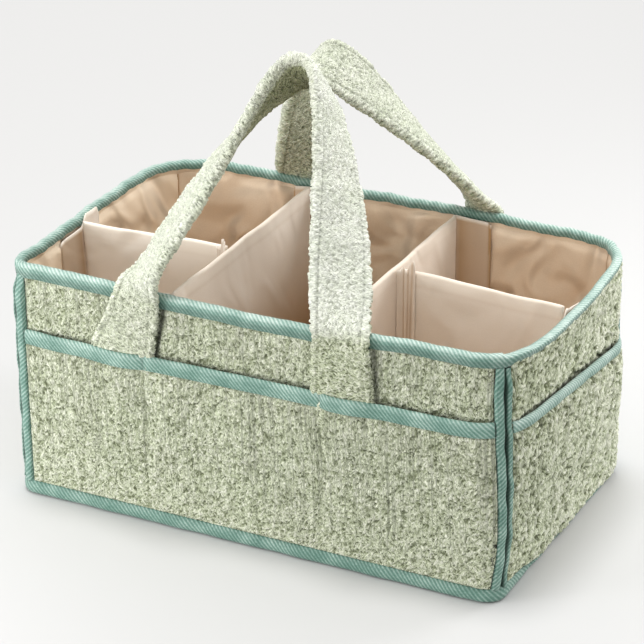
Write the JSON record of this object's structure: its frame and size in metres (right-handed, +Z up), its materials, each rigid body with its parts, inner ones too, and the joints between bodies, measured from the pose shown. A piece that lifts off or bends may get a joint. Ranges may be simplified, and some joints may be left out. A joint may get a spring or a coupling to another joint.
{
  "type": "diaper caddy",
  "caption": "Soft open-top nursery caddy with boarded boucle walls, outer pockets, twill-bound edges, padded twisted carrying straps and loose inner dividers.",
  "frame": {"origin": "under the middle of the base, on the surface it stands on", "axes": "+X along the tub's length to the right, +Y from front to back, +Z up"},
  "size_m": [0.4031, 0.2532, 0.3407],
  "materials": {
    "boucle": "pale sage boucle pile",
    "binding_tape": "twill tape",
    "lining_cloth": "plain woven lining",
    "divider_cloth": "plain woven cover",
    "stiffener": "foamed board"
  },
  "bodies": {
    "tub": {"front_panel": "boucle", "right_end_panel": "boucle", "back_panel": "boucle", "left_end_panel": "boucle", "base_panel": "boucle", "front_board": "stiffener", "right_end_board": "stiffener", "back_board": "stiffener", "left_end_board": "stiffener", "base_board": "stiffener", "front_lining": "lining_cloth", "right_end_lining": "lining_cloth", "back_lining": "lining_cloth", "left_end_lining": "lining_cloth", "floor_lining": "lining_cloth", "front_pocket": "boucle", "right_end_pocket": "boucle", "back_pocket": "boucle", "left_end_pocket": "boucle", "front_pocket_binding": "binding_tape", "right_end_pocket_binding": "binding_tape", "back_pocket_binding": "binding_tape", "left_end_pocket_binding": "binding_tape", "rim_binding": "binding_tape", "base_binding": "binding_tape", "front_first_corner_binding": "binding_tape", "front_last_corner_binding": "binding_tape", "right_end_first_corner_binding": "binding_tape", "right_end_last_corner_binding": "binding_tape", "back_first_corner_binding": "binding_tape", "back_last_corner_binding": "binding_tape", "left_end_first_corner_binding": "binding_tape", "left_end_last_corner_binding": "binding_tape", "front_handle_left_foot": "boucle", "front_handle_right_foot": "boucle", "back_handle_left_foot": "boucle", "back_handle_right_foot": "boucle"},
    "front_strap": {"front_handle": "boucle"},
    "back_strap": {"back_handle": "boucle"},
    "left_cross_divider": {"left_cross_divider_cover": "divider_cloth", "left_cross_divider_board": "stiffener", "left_cross_divider_front_flap": "divider_cloth", "left_cross_divider_back_flap": "divider_cloth"},
    "right_cross_divider": {"right_cross_divider_cover": "divider_cloth", "right_cross_divider_board": "stiffener", "right_cross_divider_front_flap": "divider_cloth", "right_cross_divider_back_flap": "divider_cloth"},
    "left_long_divider": {"left_long_divider_cover": "divider_cloth", "left_long_divider_board": "stiffener", "left_long_divider_wall_flap": "divider_cloth", "left_long_divider_inner_flap": "divider_cloth"},
    "right_long_divider": {"right_long_divider_cover": "divider_cloth", "right_long_divider_board": "stiffener", "right_long_divider_wall_flap": "divider_cloth", "right_long_divider_inner_flap": "divider_cloth"}
  },
  "joints": [
    {"name": "front_strap_swing", "type": "hinge", "parent": "tub", "child": "front_strap", "pos_m": [0, -0.1244, 0.18145], "axis": [1, 0, 0], "range_deg": [0, 145]},
    {"name": "back_strap_swing", "type": "hinge", "parent": "tub", "child": "back_strap", "pos_m": [0, 0.1244, 0.18145], "axis": [-1, 0, 0], "range_deg": [0, 145]},
    {"name": "left_long_divider_lift", "type": "slide", "parent": "tub", "child": "left_long_divider", "axis": [0, 0, 1], "range_m": [0, 0.18]},
    {"name": "right_long_divider_lift", "type": "slide", "parent": "tub", "child": "right_long_divider", "axis": [0, 0, 1], "range_m": [0, 0.18]},
    {"name": "left_cross_divider_move", "type": "slide", "parent": "tub", "child": "left_cross_divider", "axis": [1, 0, 0], "range_m": [0, 0.045]},
    {"name": "right_cross_divider_move", "type": "slide", "parent": "tub", "child": "right_cross_divider", "axis": [-1, 0, 0], "range_m": [0, 0.045]}
  ]
}
